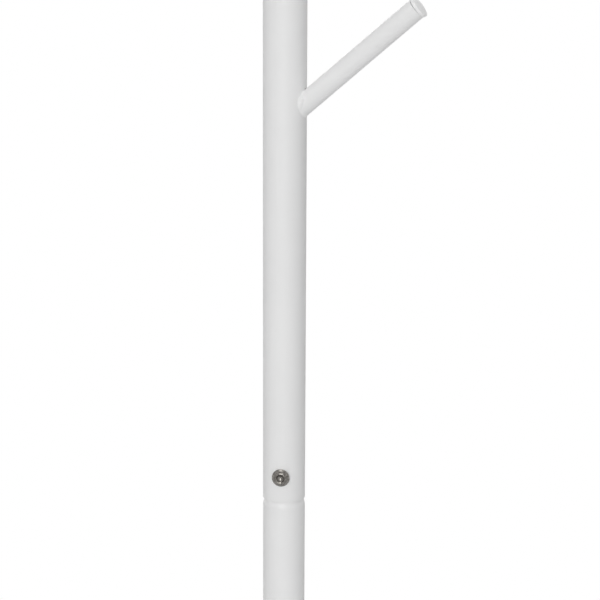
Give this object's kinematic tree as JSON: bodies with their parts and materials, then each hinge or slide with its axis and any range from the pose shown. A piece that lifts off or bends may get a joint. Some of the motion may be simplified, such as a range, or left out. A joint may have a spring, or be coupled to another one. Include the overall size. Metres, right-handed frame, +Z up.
{
  "type": "coat stand",
  "caption": "Tree-style coat stand: a white tube pole in sleeved, screwed sections with slanted welded tube pegs around it, standing on a round steel base plate.",
  "frame": {"origin": "on the floor, under the pole's axis, at the middle of the base", "axes": "+Z up along the pole; the joint screws face -Y"},
  "size_m": [0.35, 0.35, 1.7345],
  "materials": {
    "white_coat": "satin powder coat",
    "white_plastic": "satin moulded",
    "plated_steel": "nickel plated",
    "zinc_steel": "zinc plated",
    "black_rubber": "matte moulded"
  },
  "bodies": {
    "root": {"base_bolt": "zinc_steel", "base_pads": "black_rubber", "base_plate": "white_coat", "foot_insert": "zinc_steel", "lower_joint_nut": "zinc_steel", "lower_joint_screw": "plated_steel", "lower_pole": "white_coat", "middle_pole": "white_coat", "peg_1": "white_coat", "peg_2": "white_coat", "peg_3": "white_coat", "peg_4": "white_coat", "peg_5": "white_coat", "peg_6": "white_coat", "peg_7": "white_coat", "peg_8": "white_coat", "peg_9": "white_coat", "peg_cap_1": "white_plastic", "peg_cap_2": "white_plastic", "peg_cap_3": "white_plastic", "peg_cap_4": "white_plastic", "peg_cap_5": "white_plastic", "peg_cap_6": "white_plastic", "peg_cap_7": "white_plastic", "peg_cap_8": "white_plastic", "peg_cap_9": "white_plastic", "peg_weld_1": "white_coat", "peg_weld_2": "white_coat", "peg_weld_3": "white_coat", "peg_weld_4": "white_coat", "peg_weld_5": "white_coat", "peg_weld_6": "white_coat", "peg_weld_7": "white_coat", "peg_weld_8": "white_coat", "peg_weld_9": "white_coat", "top_cap": "white_plastic", "upper_joint_nut": "zinc_steel", "upper_joint_screw": "plated_steel", "upper_pole": "white_coat"}
  },
  "joints": []
}
